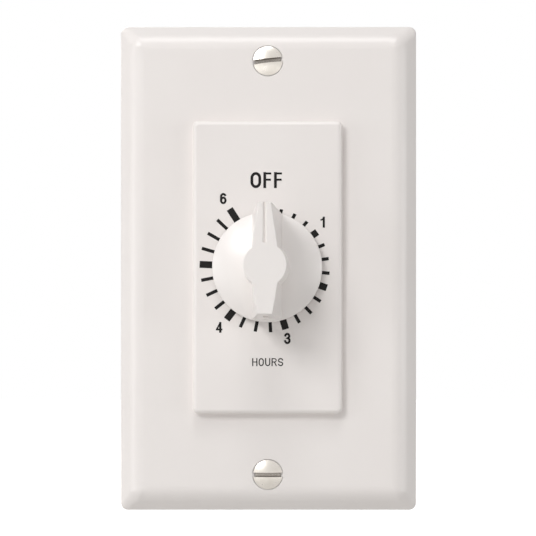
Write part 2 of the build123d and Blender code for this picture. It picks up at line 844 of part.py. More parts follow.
def clutch_washer():
    """A dished spring washer that presses the main wheel on the arbor's collar, so that the knob can slip."""
    bore = rear_shaft_radius + running_fit
    return turned(
        [
            (clutch_washer_radius, washer_front),
            (clutch_washer_radius, washer_front + clutch_washer_thick),
            (bore + clutch_washer_thick, ring_front),
            (bore, ring_front),
            (bore, ring_front - clutch_washer_thick),
            (clutch_washer_radius - clutch_washer_thick, washer_front),
        ]
    )


def clutch_ring():
    """A split ring in a groove of the arbor, behind the spring washer."""
    form = Circle(clutch_ring_radius) - Circle(rear_shaft_radius - clutch_groove)
    form -= box(rear_shaft_radius, 2 * clutch_ring_radius, (0, -clutch_ring_radius))
    return slab(form, ring_front, ring_front + clutch_ring_thick)


def mainspring():
    """The spring that drives the timer, from the arbor's barrel to the post on the front plate."""
    sizes = (spring_barrel_radius + running_fit, spring_pitch, spring_turns, spring_steps, spring_thick)
    coil = spiral(*sizes, spring_end_direction, (0, 0))
    return slab(coil, spring_front, spring_front + spring_width)


def spring_post():
    """The post that the mainspring's outer end hooks on."""
    return rod(spring_post_place, spring_post_radius, 0, spring_front + spring_width)


def train_wheel(number):
    """A wheel of the train. One of its gaps faces the next pinion, so that the two are in mesh at rest."""
    gap = radians(train_directions[number]) - pi / train_teeth[number]
    sizes = (train_teeth[number], train_modules[number], wheel_tooth, wheel_tooth_half)
    bore = rear_shaft_radius + running_fit if number == 0 else train_arbor_radius
    form = toothed(*sizes, gap, train_axes[number]) - disc(train_axes[number], bore)
    return slab(form, wheel_fronts[number], wheel_fronts[number] + wheel_thicks[number])


def plain_arbor(axis):
    """A thin arbor between the two plates, with a pivot in each."""
    form = rod(axis, train_arbor_radius, frame_thick + thin_gap, rear_plate_y - thin_gap)
    return form + rod(axis, pivot_radius, 0, insulator_y)


def train_pinion(number):
    """An arbor of the train with its pinion, which the wheel before it drives."""
    leaf = radians(train_directions[number - 1]) + pi
    sizes = (pinion_leaves, train_modules[number - 1], pinion_leaf, pinion_leaf_half)
    front = wheel_fronts[number - 1] - pinion_overhang
    back = front + wheel_thicks[number - 1] + 2 * pinion_overhang
    leaves = toothed(*sizes, leaf, train_axes[number])
    return plain_arbor(train_axes[number]) + slab(leaves, front, back)


def escape_wheel():
    """The escape wheel. At rest each pallet pin stands over a gap, a quarter of a tooth from a tooth."""
    root_radius = escape_radius - escape_tooth_depth
    tip_half = escape_tip_width / 2 / escape_radius
    root_half = escape_root_width / 2 / root_radius
    first = radians(lever_direction) + pallet_half_angle + pi / (2 * escape_teeth)
    points = []
    for number in range(escape_teeth):
        middle = first + 2 * pi * number / escape_teeth
        points.append(polar(root_radius, middle - root_half, escape_axis))
        points.append(polar(escape_radius, middle - tip_half, escape_axis))
        points.append(polar(escape_radius, middle + tip_half, escape_axis))
        points.append(polar(root_radius, middle + root_half, escape_axis))
    form = outline(points) - disc(escape_axis, train_arbor_radius)
    return slab(form, escape_wheel_front, escape_wheel_front + train_wheel_thick)


def pallet_places():
    """The two pallet pins, clear of the escape wheel's tips while the lever is in the middle."""
    reach = escape_radius + pallet_pin_radius + pallet_clear
    middle = radians(lever_direction)
    return [polar(reach, middle + side * pallet_half_angle, escape_axis) for side in (-1, 1)]


def pallet_pins():
    """Two steel pins in the lever, which the escape wheel's teeth push in turn."""
    front = escape_wheel_front - thin_gap
    return [rod(place, pallet_pin_radius, front, lever_back) for place in pallet_places()]


def pallet_lever():
    """The lever: two arms with the pallet pins, and a fork that the balance's pin works in."""
    form = disc(lever_axis, lever_hub_radius)
    for place in pallet_places():
        form += strip(lever_axis, place, lever_width) + disc(place, lever_width / 2)
    notch_half = impulse_pin_radius + fork_clear
    fork_start = away(lever_axis, fork_reach - fork_depth, balance_direction)
    fork_end = away(lever_axis, fork_reach + fork_depth / 2, balance_direction)
    notch_start = away(lever_axis, fork_reach - fork_depth / 2, balance_direction)
    form += strip(lever_axis, fork_start, lever_width)
    form += strip(fork_start, fork_end, 2 * (notch_half + fork_prong))
    form -= strip(notch_start, balance_axis, 2 * notch_half)
    form -= disc(lever_axis, train_arbor_radius)
    for place in pallet_places():
        form -= disc(place, pallet_pin_radius)
    return slab(form, lever_front, lever_back)


def pallet_arbor():
    """The arbor that the lever rocks on."""
    return plain_arbor(lever_axis)


def balance_wheel():
    """A brass ring on two spokes, which sets the beat."""
    ring = Circle(balance_radius) - Circle(balance_radius - balance_rim)
    form = ring + box(2 * balance_radius - balance_rim, balance_spoke) + Circle(balance_hub_radius)
    form -= Circle(train_arbor_radius)
    placed = Pos(*balance_axis) * Rot(0, 0, balance_direction) * form
    return slab(placed, second_wheel_front, second_wheel_front + balance_thick)


def balance_staff():
    """The balance's arbor, with a roller that carries the impulse pin."""
    roller = disc(balance_axis, impulse_radius + roller_margin) - disc(impulse_place, impulse_pin_radius)
    return plain_arbor(balance_axis) + slab(roller, roller_back - roller_thick, roller_back)


def impulse_pin():
    """The pin that passes the lever's push to the balance."""
    return rod(impulse_place, impulse_pin_radius, roller_back - roller_thick, lever_back)


def balance_spring():
    """The fine spiral that brings the balance back."""
    sizes = (train_arbor_radius + running_fit, hair_pitch, hair_turns, hair_steps, hair_thick)
    coil = spiral(*sizes, balance_direction, balance_axis)
    return slab(coil, hair_front, hair_front + hair_width)


def hair_stud():
    """The stud on the rear plate that holds the balance spring's outer end."""
    return rod(hair_stud_place, hair_stud_radius, hair_front, insulator_y)


def grip_outline(tip, tail, tip_width, tail_width, width, shoulder):
    """The outline of the knob's grip: straight at its middle and tapering to the pointer and to the tail."""
    right = [(tip_width / 2, tip), (width / 2, shoulder), (width / 2, -shoulder), (tail_width / 2, -tail)]
    return outline(right + [(-x, z) for x, z in reversed(right)])


def knob():
    """The pointer knob: a domed skirt, a tapering grip with a round cap, and a hub for the shaft."""
    rim_y = knob_y - knob_rim
    foot_reach = knob_radius - grip_foot_inset
    foot_widths = (grip_foot_width, grip_foot_width, grip_foot_width)
    shoulder = sqrt(knob_cap_radius**2 - (grip_width / 2) ** 2)
    foot = grip_outline(foot_reach, foot_reach, *foot_widths, shoulder)
    crown = grip_outline(pointer_reach, tail_reach, pointer_tip_width, tail_tip_width, grip_width, shoulder)
    grip = loft([front_plane(rim_y) * foot, front_plane(knob_top_y) * crown], ruled=True)
    grip += taper((0, 0), knob_cap_radius, knob_cap_radius + knob_cap_draft, knob_top_y, rim_y)
    grip = fillet(grip.edges().group_by(Axis.Y)[0], knob_edge_round)
    skirt = rod((0, 0), knob_radius, rim_y, knob_y) + dome(knob_radius, knob_dome, rim_y)
    rim = [edge for edge in skirt.edges() if edge.center().Y < knob_y - thin_gap]
    form = fillet(rim, knob_rim_round) + grip
    half = groove_width / 2
    groove = outline([(-half, knob_top_y), (half, knob_top_y), (0, knob_top_y + groove_depth)])
    form -= Pos(0, 0, pointer_reach - groove_length) * extrude(groove, amount=groove_length + thin_gap)
    mark_middle = tail_reach + gate_mark_drop + gate_mark_height / 2
    mark = box(gate_mark_width, gate_mark_height, (0, -mark_middle))
    form -= slab(mark, knob_top_y, knob_top_y + gate_mark_depth)
    inner_rim_y = rim_y + knob_wall / 2
    form -= rod((0, 0), knob_radius - knob_wall, inner_rim_y, knob_y)
    form -= dome(knob_radius - knob_wall, knob_dome - knob_wall / 2, inner_rim_y)
    form += rod((0, 0), shaft_radius + hub_wall, rim_y - knob_dome + knob_wall / 2, knob_y)
    bore = flat_round(shaft_radius + running_fit, shaft_flat_height + clip_thick + 2 * running_fit)
    return form - slab(bore, shaft_end_y - thin_gap, knob_y)


def knob_clip():
    """A spring-steel strip between the knob's flat and the shaft's, which grips the shaft."""
    front = shaft_end_y + thin_gap
    clip = box(clip_width, clip_thick, (0, shaft_flat_height + running_fit + clip_thick / 2))
    return slab(clip, front, front + clip_length)


pieces = {
    "wall_plate": wall_plate(),
    "wall_plate_screws": plate_screws(),
    "dial_plate": dial_plate(),
    "knob": knob(),
    "knob_clip": knob_clip(),
    "yoke": yoke(),
    "box_screws": box_screws(),
    "screw_retainers": screw_retainers(),
    "earth_screw": earth_screw(),
    "front_bush": front_bush(),
    "front_plate": front_plate(),
    "rear_plate": rear_plate(),
    "pillars": pillars(),
    "front_screws": front_screws(),
    "rear_screws": rear_screws(),
    "movement_cover": movement_cover(),
    "insulator": insulator(),
    "switch_housing": switch_housing(),
    "line_terminal": line_terminal(),
    "load_terminal": load_terminal(),
    "terminal_screws": terminal_screws(),
    "fixed_contact": contact_button(fixed_contact_x),
    "moving_contact": contact_button(arm_face_x),
    "contact_arm": contact_arm(),
    "cam_follower": cam_follower(),
    "arm_post": arm_post(),
    "arm_bow_spring": arm_bow_spring(),
    "switch_cam": switch_cam(),
    "arbor": arbor(),
    "clutch_washer": clutch_washer(),
    "clutch_ring": clutch_ring(),
    "mainspring": mainspring(),
    "spring_post": spring_post(),
    "escape_wheel": escape_wheel(),
    "pallet_lever": pallet_lever(),
    "pallet_arbor": pallet_arbor(),
    "pallet_pins": pallet_pins(),
    "balance_wheel": balance_wheel(),
    "balance_staff": balance_staff(),
    "impulse_pin": impulse_pin(),
    "balance_spring": balance_spring(),
    "hair_stud": hair_stud(),
}
for number, name in enumerate(("main_wheel", "second_wheel", "third_wheel", "fourth_wheel")):
    pieces[name] = train_wheel(number)
for number, name in enumerate(("second_pinion", "third_pinion", "fourth_pinion", "escape_pinion")):
    pieces[name] = train_pinion(number + 1)

os.makedirs("parts", exist_ok=True)
for name, piece in pieces.items():
    if isinstance(piece, list):
        piece = Compound([solid for each in piece for solid in each.solids()])
    export_step(piece, f"parts/{name}.step")
print(f"plate {plate_width:.2f} x {plate_height:.2f}, case {case_width:.2f} x {case_height:.2f}, back {case_end_y:.2f}")
print(f"contact arm swings {degrees(arm_swing):.3f} degrees about {arm_pivot}")
print("train axes", [tuple(round(value, 3) for value in axis) for axis in train_axes])
print("lever axis", lever_axis, "balance axis", balance_axis, "balance turns", fork_reach / impulse_radius)
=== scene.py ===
# %% [markdown]
# # A timer light switch, dressed for the camera
#
# The solids of the switch come from its CAD model, already at their real size and place. This
# lesson gives them their finishes, prints the dial, cuts the threads that the solids leave out,
# and sets up a small photo studio. X runs right, Y runs into the wall, Z runs up, and Blender's
# unit is the metre.

import bmesh
import bpy
import json
from math import cos, pi, radians, sin
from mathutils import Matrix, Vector


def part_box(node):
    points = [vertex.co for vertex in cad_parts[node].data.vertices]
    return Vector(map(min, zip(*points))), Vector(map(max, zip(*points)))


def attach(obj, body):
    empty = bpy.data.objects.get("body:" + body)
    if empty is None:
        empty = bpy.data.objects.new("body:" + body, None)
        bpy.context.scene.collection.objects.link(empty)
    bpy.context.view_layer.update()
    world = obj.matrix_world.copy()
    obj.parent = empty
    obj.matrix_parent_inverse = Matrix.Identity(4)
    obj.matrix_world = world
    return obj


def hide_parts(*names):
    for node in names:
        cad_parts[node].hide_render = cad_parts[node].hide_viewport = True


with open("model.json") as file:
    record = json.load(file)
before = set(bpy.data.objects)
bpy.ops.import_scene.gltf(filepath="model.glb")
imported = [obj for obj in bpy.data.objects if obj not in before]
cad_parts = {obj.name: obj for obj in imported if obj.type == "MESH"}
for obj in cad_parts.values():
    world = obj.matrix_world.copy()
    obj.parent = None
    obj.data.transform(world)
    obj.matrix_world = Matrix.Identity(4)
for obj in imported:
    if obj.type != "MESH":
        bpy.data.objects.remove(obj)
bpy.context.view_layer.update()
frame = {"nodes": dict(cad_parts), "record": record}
nodes = frame["nodes"]
print("solids loaded:", len(nodes))

# %% [markdown]
# ## Sizes and colours
#
# A maker thinks in millimetres and picks colours as hex codes on a screen. Blender wants metres
# and linear light, so one value and one function do the turning. A hex code is sRGB, and the
# curve below undoes its brightening.

# %% Millimetres and hex colours
MM = 0.001


def linear(code):
    """The linear RGBA colour of an sRGB hex code."""
    colour = []
    for start in (1, 3, 5):
        part = int(code[start : start + 2], 16) / 255
        colour.append(part / 12.92 if part <= 0.04045 else ((part + 0.055) / 1.055) ** 2.4)
    return (*colour, 1.0)


print("mid grey in linear light:", round(linear("#808080")[0], 3))

# %% [markdown]
# ## The camera
#
# The photograph was taken square to the wall, a little below and to the right of the knob, so no
# edge of the plate runs askew. A long lens 400 mm away gives that flat look. Turning the camera
# towards the switch would set its edges askew, so the film is shifted instead.

# %% Camera square to the wall
camera_distance = 400.0
picture_width = 127.2
camera_right = 14
camera_low = -14
lens = bpy.data.cameras.new("studio_camera")
lens.sensor_width = 36.0
lens.lens = lens.sensor_width * camera_distance / picture_width
lens.shift_x = -0.1113
lens.shift_y = 0.1112
lens.clip_start = 0.01
camera = bpy.data.objects.new("studio_camera", lens)
camera.location = (camera_right * MM, -camera_distance * MM, camera_low * MM)
camera.rotation_euler = (radians(90), 0, 0)
bpy.context.scene.collection.objects.link(camera)
bpy.context.scene.camera = camera
print("focal length, mm:", round(lens.lens, 1))

# %% [markdown]
# ## One way to add a node
#
# Every finish below is a small graph of nodes. The first helper adds one node: a setting that is
# a socket is linked, any other value is set on the input or the property of that name. Inputs are
# also found by their identifier, because the Mix node has several inputs called A. The other
# helpers are the nodes that nearly every finish needs.

# %% Node helper


def add(tree, kind, settings):
    """Adds a node to a tree, sets its inputs and properties, and links the sockets among them."""
    made = tree.nodes.new(kind)
    for name, value in settings.items():
        inputs = [plug for plug in made.inputs if name in (plug.identifier, plug.name)]
        if not inputs:
            setattr(made, name, value)
        elif isinstance(value, bpy.types.NodeSocket):
            tree.links.new(value, inputs[0])
        else:
            inputs[0].default_value = value
    return made


def finish_called(name):
    """A new material with an empty node tree."""
    made = bpy.data.materials.new(name)
    made.use_nodes = True
    made.node_tree.nodes.clear()
    return made, made.node_tree


def noise(tree, place, width, detail):
    """Noise in the object's own space, with patches about as wide as given in millimetres."""
    return add(
        tree,
        "ShaderNodeTexNoise",
        {"Vector": place.outputs["Object"], "Scale": 1 / (width * MM), "Detail": detail},
    )


def blend(tree, factor, first, second):
    """Mixes two hex colours by the first output of a node."""
    return add(
        tree,
        "ShaderNodeMix",
        {
            "data_type": "RGBA",
            "Factor_Float": factor.outputs[0],
            "A_Color": linear(first),
            "B_Color": linear(second),
        },
    )


def spread_over(tree, source, low, high):
    """Maps the first output of a node, which runs from 0 to 1, onto a range."""
    return add(tree, "ShaderNodeMapRange", {"Value": source.outputs[0], "To Min": low, "To Max": high})


def bump(tree, height, strength, depth):
    """Raises the surface by a socket, over a depth in millimetres."""
    return add(tree, "ShaderNodeBump", {"Height": height, "Strength": strength, "Distance": depth * MM})


print("helpers ready")

# %% [markdown]
# ## White moulded urea
#
# Wall plates of this kind are pressed from white urea resin. It is dense and faintly warm, it has
# an even half-gloss from the polished steel mould, and close up the skin is not quite flat: a
# slow drift in tone over some centimetres, and a fine orange-peel ripple about 0.6 mm across. An
# IOR of 1.5 gives the plain sheen.

# %% Material: white moulded urea
white_urea, tree = finish_called("moulded_white_urea")
place = add(tree, "ShaderNodeTexCoord", {})
drift = noise(tree, place, 22, 2.0)
ripple = noise(tree, place, 0.6, 3.0)
tone = blend(tree, drift, "#F0EBE8", "#ECE6E3")
gloss = spread_over(tree, ripple, 0.3, 0.42)
skin = bump(tree, ripple.outputs[0], 0.12, 0.02)
surface = add(
    tree,
    "ShaderNodeBsdfPrincipled",
    {
        "Base Color": tone.outputs[2],
        "Roughness": gloss.outputs[0],
        "Normal": skin.outputs[0],
        "IOR": 1.5,
    },
)
add(tree, "ShaderNodeOutputMaterial", {"Surface": surface.outputs[0]})
print("finish:", white_urea.name)

# %% [markdown]
# ## White ABS
#
# The knob is injection moulded ABS. It is a touch brighter and smoother than the plate, because
# the mould is polished so that the grip wipes clean, and it shows a softer, broader highlight on
# the skirt's dome.

# %% Material: white ABS
white_abs, tree = finish_called("moulded_white_abs")
place = add(tree, "ShaderNodeTexCoord", {})
drift = noise(tree, place, 9, 2.0)
ripple = noise(tree, place, 0.45, 2.0)
tone = blend(tree, drift, "#F3EEEB", "#EEE9E6")
gloss = spread_over(tree, ripple, 0.26, 0.38)
skin = bump(tree, ripple.outputs[0], 0.08, 0.02)
surface = add(
    tree,
    "ShaderNodeBsdfPrincipled",
    {
        "Base Color": tone.outputs[2],
        "Roughness": gloss.outputs[0],
        "Normal": skin.outputs[0],
        "IOR": 1.53,
    },
)
add(tree, "ShaderNodeOutputMaterial", {"Surface": surface.outputs[0]})
print("finish:", white_abs.name)

# %% [markdown]
# ## Black printing ink
#
# The dial is pad printed: a film of black ink a few hundredths of a millimetre thick, dull, and a
# little thin in places, so its black is never quite even.

# %% Material: printing ink
dial_ink, tree = finish_called("black_pad_print_ink")
place = add(tree, "ShaderNodeTexCoord", {})
thin = noise(tree, place, 0.3, 4.0)
tone = blend(tree, thin, "#0B0909", "#1B1817")
gloss = spread_over(tree, thin, 0.5, 0.7)
surface = add(
    tree,
    "ShaderNodeBsdfPrincipled",
    {"Base Color": tone.outputs[2], "Roughness": gloss.outputs[0], "IOR": 1.48, "Specular IOR Level": 0.2},
)
add(tree, "ShaderNodeOutputMaterial", {"Surface": surface.outputs[0]})
print("finish:", dial_ink.name)

# %% [markdown]
# ## Nickel plate
#
# The two plate screws are steel with bright nickel. Nickel is a warm white metal. The heads are
# barrel polished, which leaves fine marks in every direction, about 0.08 mm apart, and a soft,
# slightly cloudy reflection. Down in the slot, and wherever else the metal is shut in, the colour
# is darkened towards a dull grey-brown: this is painted shade.

# %% Material: nickel plated steel
nickel, tree = finish_called("nickel_plated_steel")
place = add(tree, "ShaderNodeTexCoord", {})
cloud = noise(tree, place, 1.6, 3.0)
marks = noise(tree, place, 0.08, 2.0)
tone = blend(tree, cloud, "#DDD8D1", "#C9C2B9")
gloss = spread_over(tree, cloud, 0.22, 0.38)
skin = bump(tree, marks.outputs[0], 0.1, 0.01)
# Painted shade: an ambient occlusion mask darkens the colour in the slot and other recesses.
shade_occlusion = add(tree, "ShaderNodeAmbientOcclusion", {"Distance": 0.9 * MM, "samples": 8})
unshaded_share = add(
    tree,
    "ShaderNodeMapRange",
    {"Value": shade_occlusion.outputs["AO"], "From Min": 0.55, "From Max": 0.95},
)
# The dark grey-brown is painted shade, mixed in where the occlusion mask is low.
tone_with_painted_shade = add(
    tree,
    "ShaderNodeMix",
    {
        "data_type": "RGBA",
        "Factor_Float": unshaded_share.outputs[0],
        "A_Color": linear("#5E5751"),
        "B_Color": tone.outputs[2],
    },
)
surface = add(
    tree,
    "ShaderNodeBsdfPrincipled",
    {"Base Color": tone_with_painted_shade.outputs[2], "Metallic": 1.0, "Roughness": gloss.outputs[0], "Normal": skin.outputs[0]},
)
add(tree, "ShaderNodeOutputMaterial", {"Surface": surface.outputs[0]})
print("finish:", nickel.name)

# %% [markdown]
# ## Zinc plated steel
#
# The yoke and the plates of the movement are stamped from strip steel and zinc plated. Zinc is
# bluer and duller than nickel. The strip's rolling leaves long faint lines, so the noise is
# squeezed across Z and stretched along it, and the plating clouds over patches of some 5 mm.

# %% Material: zinc plated steel
zinc_steel, tree = finish_called("zinc_plated_steel")
place = add(tree, "ShaderNodeTexCoord", {})
rolled = add(
    tree,
    "ShaderNodeMapping",
    {"Vector": place.outputs["Object"], "Scale": (1 / (0.25 * MM), 1 / (0.25 * MM), 1 / (9 * MM))},
)
lines = add(tree, "ShaderNodeTexNoise", {"Vector": rolled.outputs[0], "Scale": 1.0, "Detail": 2.0})
cloud = noise(tree, place, 5, 4.0)
tone = blend(tree, cloud, "#C4C7CA", "#A4A7A8")
gloss = spread_over(tree, cloud, 0.34, 0.52)
skin = bump(tree, lines.outputs[0], 0.15, 0.01)
surface = add(
    tree,
    "ShaderNodeBsdfPrincipled",
    {"Base Color": tone.outputs[2], "Metallic": 1.0, "Roughness": gloss.outputs[0], "Normal": skin.outputs[0]},
)
add(tree, "ShaderNodeOutputMaterial", {"Surface": surface.outputs[0]})
print("finish:", zinc_steel.name)

# %% [markdown]
# ## Green plated steel
#
# The earth screw is dyed green so that nobody takes it for a live terminal. The dye lies over
# zinc, so the metal still shines through, and it wears to a paler green where the dye is thin.

# %% Material: green dyed zinc
green_steel, tree = finish_called("green_dyed_zinc")
place = add(tree, "ShaderNodeTexCoord", {})
thin = noise(tree, place, 1.2, 4.0)
tone = blend(tree, thin, "#1E7A45", "#4C9A62")
gloss = spread_over(tree, thin, 0.3, 0.48)
surface = add(
    tree,
    "ShaderNodeBsdfPrincipled",
    {"Base Color": tone.outputs[2], "Metallic": 0.85, "Roughness": gloss.outputs[0]},
)
add(tree, "ShaderNodeOutputMaterial", {"Surface": surface.outputs[0]})
print("finish:", green_steel.name)

# %% [markdown]
# ## Vulcanised fibre
#
# The insulating sheet and the little squares behind the yoke are red vulcanised fibre: cotton
# paper pressed into a hard board. Its surface is dull, with short paper fibres about 0.4 mm
# across in a lighter red.

# %% Material: vulcanised fibre
red_fibre, tree = finish_called("red_vulcanised_fibre")
place = add(tree, "ShaderNodeTexCoord", {})
pulp = noise(tree, place, 0.4, 6.0)
tone = blend(tree, pulp, "#7E2C20", "#A4503C")
gloss = spread_over(tree, pulp, 0.6, 0.85)
skin = bump(tree, pulp.outputs[0], 0.3, 0.03)
surface = add(
    tree,
    "ShaderNodeBsdfPrincipled",
    {"Base Color": tone.outputs[2], "Roughness": gloss.outputs[0], "Normal": skin.outputs[0], "IOR": 1.5},
)
add(tree, "ShaderNodeOutputMaterial", {"Surface": surface.outputs[0]})
print("finish:", red_fibre.name)

# %% [markdown]
# ## Natural polypropylene
#
# The dust sleeve round the movement is moulded in unpigmented polypropylene. It is milky rather
# than white: some light enters and scatters a millimetre or so inside, which the subsurface
# setting gives.

# %% Material: natural polypropylene
milky_sleeve, tree = finish_called("natural_polypropylene")
place = add(tree, "ShaderNodeTexCoord", {})
flow = add(
    tree,
    "ShaderNodeMapping",
    {"Vector": place.outputs["Object"], "Scale": (1 / (3 * MM), 1 / (12 * MM), 1 / (3 * MM))},
)
streak = add(tree, "ShaderNodeTexNoise", {"Vector": flow.outputs[0], "Scale": 1.0, "Detail": 3.0})
tone = blend(tree, streak, "#EAE3DA", "#E0D8CC")
gloss = spread_over(tree, streak, 0.42, 0.55)
skin = bump(tree, streak.outputs[0], 0.15, 0.03)
surface = add(
    tree,
    "ShaderNodeBsdfPrincipled",
    {
        "Base Color": tone.outputs[2],
        "Roughness": gloss.outputs[0],
        "Normal": skin.outputs[0],
        "IOR": 1.49,
        "Subsurface Weight": 0.25,
        "Subsurface Radius": (1.0, 0.9, 0.7),
        "Subsurface Scale": 1 * MM,
    },
)
add(tree, "ShaderNodeOutputMaterial", {"Surface": surface.outputs[0]})
print("finish:", milky_sleeve.name)

# %% [markdown]
# ## Black phenolic
#
# The cup that holds the live parts is compression moulded phenolic, filled with wood flour. The
# flour shows as faint brown specks 0.3 mm across in a dull black, and the mould leaves a satin
# skin.

# %% Material: black phenolic
black_phenolic, tree = finish_called("black_phenolic")
place = add(tree, "ShaderNodeTexCoord", {})
flour = noise(tree, place, 0.3, 4.0)
specks = add(
    tree, "ShaderNodeMapRange", {"Value": flour.outputs[0], "From Min": 0.55, "From Max": 0.75}
)
tone = blend(tree, specks, "#171514", "#332A25")
gloss = spread_over(tree, flour, 0.36, 0.55)
skin = bump(tree, flour.outputs[0], 0.12, 0.02)
surface = add(
    tree,
    "ShaderNodeBsdfPrincipled",
    {"Base Color": tone.outputs[2], "Roughness": gloss.outputs[0], "Normal": skin.outputs[0], "IOR": 1.6},
)
add(tree, "ShaderNodeOutputMaterial", {"Surface": surface.outputs[0]})
print("finish:", black_phenolic.name)

# %% [markdown]
# ## Brass
#
# The wheels, pillars and terminals are brass, stamped or turned and left bare. It tarnishes
# unevenly towards a browner yellow over patches of about 3 mm, and fine working lines 0.06 mm
# apart break up the reflection.

# %% Material: brass
brass, tree = finish_called("bare_brass")
place = add(tree, "ShaderNodeTexCoord", {})
tarnish = noise(tree, place, 3, 4.0)
worked = add(
    tree,
    "ShaderNodeMapping",
    {"Vector": place.outputs["Object"], "Scale": (1 / (2 * MM), 1 / (0.06 * MM), 1 / (0.06 * MM))},
)
lines = add(tree, "ShaderNodeTexNoise", {"Vector": worked.outputs[0], "Scale": 1.0, "Detail": 1.0})
tone = blend(tree, tarnish, "#DDBD78", "#B9934F")
gloss = spread_over(tree, tarnish, 0.22, 0.42)
skin = bump(tree, lines.outputs[0], 0.15, 0.01)
surface = add(
    tree,
    "ShaderNodeBsdfPrincipled",
    {"Base Color": tone.outputs[2], "Metallic": 1.0, "Roughness": gloss.outputs[0], "Normal": skin.outputs[0]},
)
add(tree, "ShaderNodeOutputMaterial", {"Surface": surface.outputs[0]})
print("finish:", brass.name)

# %% [markdown]
# ## Phosphor bronze
#
# The contact arm and the clutch washer are springs, so they are phosphor bronze: pinker than
# brass and harder, with the satin of cold rolled strip.

# %% Material: phosphor bronze
bronze, tree = finish_called("phosphor_bronze")
place = add(tree, "ShaderNodeTexCoord", {})
tarnish = noise(tree, place, 2.5, 4.0)
tone = blend(tree, tarnish, "#D9A070", "#A9713F")
gloss = spread_over(tree, tarnish, 0.26, 0.44)
surface = add(
    tree,
    "ShaderNodeBsdfPrincipled",
    {"Base Color": tone.outputs[2], "Metallic": 1.0, "Roughness": gloss.outputs[0]},
)
add(tree, "ShaderNodeOutputMaterial", {"Surface": surface.outputs[0]})
print("finish:", bronze.name)

# %% [markdown]
# ## Blued spring steel
#
# Spring steel is tempered in an oven, and the oxide film turns it blue, with straw and purple
# where the heat was a little less. A noise of 4 mm moves the colour between the two.

# %% Material: blued spring steel
blue_steel, tree = finish_called("blued_spring_steel")
place = add(tree, "ShaderNodeTexCoord", {})
temper = noise(tree, place, 4, 2.0)
tone = blend(tree, temper, "#4E5C7C", "#7C7374")
gloss = spread_over(tree, temper, 0.2, 0.34)
surface = add(
    tree,
    "ShaderNodeBsdfPrincipled",
    {"Base Color": tone.outputs[2], "Metallic": 1.0, "Roughness": gloss.outputs[0]},
)
add(tree, "ShaderNodeOutputMaterial", {"Surface": surface.outputs[0]})
print("finish:", blue_steel.name)

# %% [markdown]
# ## Turned steel
#
# Arbors and pinions are turned from bright steel bar. The tool leaves rings round the axis, which
# is Y for every arbor here, so bands along Y, drawn 0.12 mm wide so that they show, give the ring
# marks.

# %% Material: turned bright steel
bright_steel, tree = finish_called("turned_bright_steel")
place = add(tree, "ShaderNodeTexCoord", {})
rings = add(
    tree,
    "ShaderNodeTexWave",
    {
        "Vector": place.outputs["Object"],
        "bands_direction": "Y",
        "Scale": 1 / (0.12 * MM * 20),
        "Distortion": 1.0,
        "Detail": 1.0,
    },
)
haze = noise(tree, place, 2, 3.0)
tone = blend(tree, haze, "#D4D6DA", "#B2B4B8")
gloss = spread_over(tree, haze, 0.14, 0.28)
skin = bump(tree, rings.outputs[1], 0.1, 0.01)
surface = add(
    tree,
    "ShaderNodeBsdfPrincipled",
    {"Base Color": tone.outputs[2], "Metallic": 1.0, "Roughness": gloss.outputs[0], "Normal": skin.outputs[0]},
)
add(tree, "ShaderNodeOutputMaterial", {"Surface": surface.outputs[0]})
print("finish:", bright_steel.name)

# %% [markdown]
# ## Contact silver
#
# The two contacts are faced with fine silver. Each break of the current leaves a small spark
# mark, so the pale metal is freckled with dark specks of about 0.2 mm.

# %% Material: contact silver
silver, tree = finish_called("contact_silver")
place = add(tree, "ShaderNodeTexCoord", {})
sparks = noise(tree, place, 0.2, 3.0)
burnt = add(tree, "ShaderNodeMapRange", {"Value": sparks.outputs[0], "From Min": 0.58, "From Max": 0.72})
tone = blend(tree, burnt, "#EDEAE2", "#8C877C")
gloss = spread_over(tree, burnt, 0.18, 0.5)
surface = add(
    tree,
    "ShaderNodeBsdfPrincipled",
    {"Base Color": tone.outputs[2], "Metallic": 1.0, "Roughness": gloss.outputs[0]},
)
add(tree, "ShaderNodeOutputMaterial", {"Surface": surface.outputs[0]})
print("finish:", silver.name)

# %% [markdown]
# ## Natural nylon
#
# The cam and its follower are uncoloured nylon, which runs on itself without oil. It is creamy
# and slightly waxy, and lets a little light in.

# %% Material: natural nylon
nylon, tree = finish_called("natural_nylon")
place = add(tree, "ShaderNodeTexCoord", {})
wax = noise(tree, place, 1.5, 3.0)
tone = blend(tree, wax, "#F0EBDC", "#E2DAC4")
gloss = spread_over(tree, wax, 0.35, 0.5)
surface = add(
    tree,
    "ShaderNodeBsdfPrincipled",
    {
        "Base Color": tone.outputs[2],
        "Roughness": gloss.outputs[0],
        "IOR": 1.53,
        "Subsurface Weight": 0.2,
        "Subsurface Radius": (1.0, 0.8, 0.5),
        "Subsurface Scale": 0.8 * MM,
    },
)
add(tree, "ShaderNodeOutputMaterial", {"Surface": surface.outputs[0]})
print("finish:", nylon.name)

# %% [markdown]
# ## Dress the solids
#
# The record says which finish each solid takes, so one table from its words to the materials
# above is enough.

# %% Give every solid its finish
finishes = {
    "white_plastic": white_urea,
    "knob_plastic": white_abs,
    "nickel_screw": nickel,
    "zinc_steel": zinc_steel,
    "green_screw": green_steel,
    "red_fibre": red_fibre,
    "cover_plastic": milky_sleeve,
    "black_phenolic": black_phenolic,
    "brass": brass,
    "bronze": bronze,
    "spring_steel": blue_steel,
    "bright_steel": bright_steel,
    "silver": silver,
    "nylon": nylon,
}
slot_of = {part["node"]: part["material_slot"] for part in frame["record"]["subparts"]}
for name, solid in nodes.items():
    solid.data.materials.clear()
    solid.data.materials.append(finishes[slot_of[name]])
print("dressed:", len(slot_of), "solids in", len(set(slot_of.values())), "finishes")
